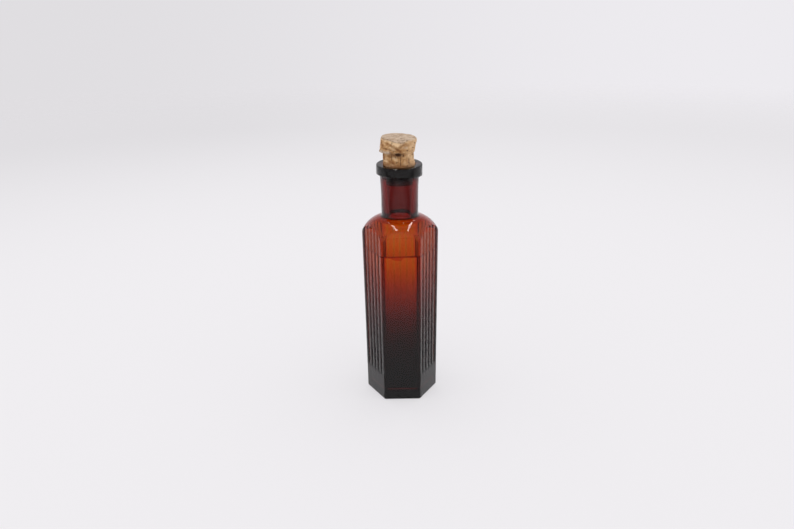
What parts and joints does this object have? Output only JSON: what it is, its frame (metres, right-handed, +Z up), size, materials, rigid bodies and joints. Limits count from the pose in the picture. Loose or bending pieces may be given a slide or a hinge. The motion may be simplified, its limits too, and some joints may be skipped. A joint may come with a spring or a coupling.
{
  "type": "poison bottle",
  "caption": "Small hexagonal amber glass poison bottle with ribbed warning panels, a plain front panel, a domed shoulder, a round collared neck and a pull-out cork, part filled with liquid.",
  "frame": {"origin": "centre of the foot, on the surface the bottle stands on", "axes": "+Z up along the neck, -Y out of the plain front panel, +X towards the upright corner on the viewer's right"},
  "size_m": [0.0364, 0.0318, 0.1287],
  "materials": {
    "amber_glass": "clear dark amber moulded glass, glossy with light wear",
    "cork": "natural cork, matte, worn and pitted",
    "liquid": "clear thin liquid"
  },
  "bodies": {
    "bottle": {"glass_bottle": "amber_glass", "liquid_contents": "liquid"},
    "stopper": {"cork_stopper": "cork"}
  },
  "joints": [
    {"name": "stopper_pull", "type": "slide", "parent": "bottle", "child": "stopper", "axis": [0, 0, 1], "range_m": [0, 0.03]}
  ]
}
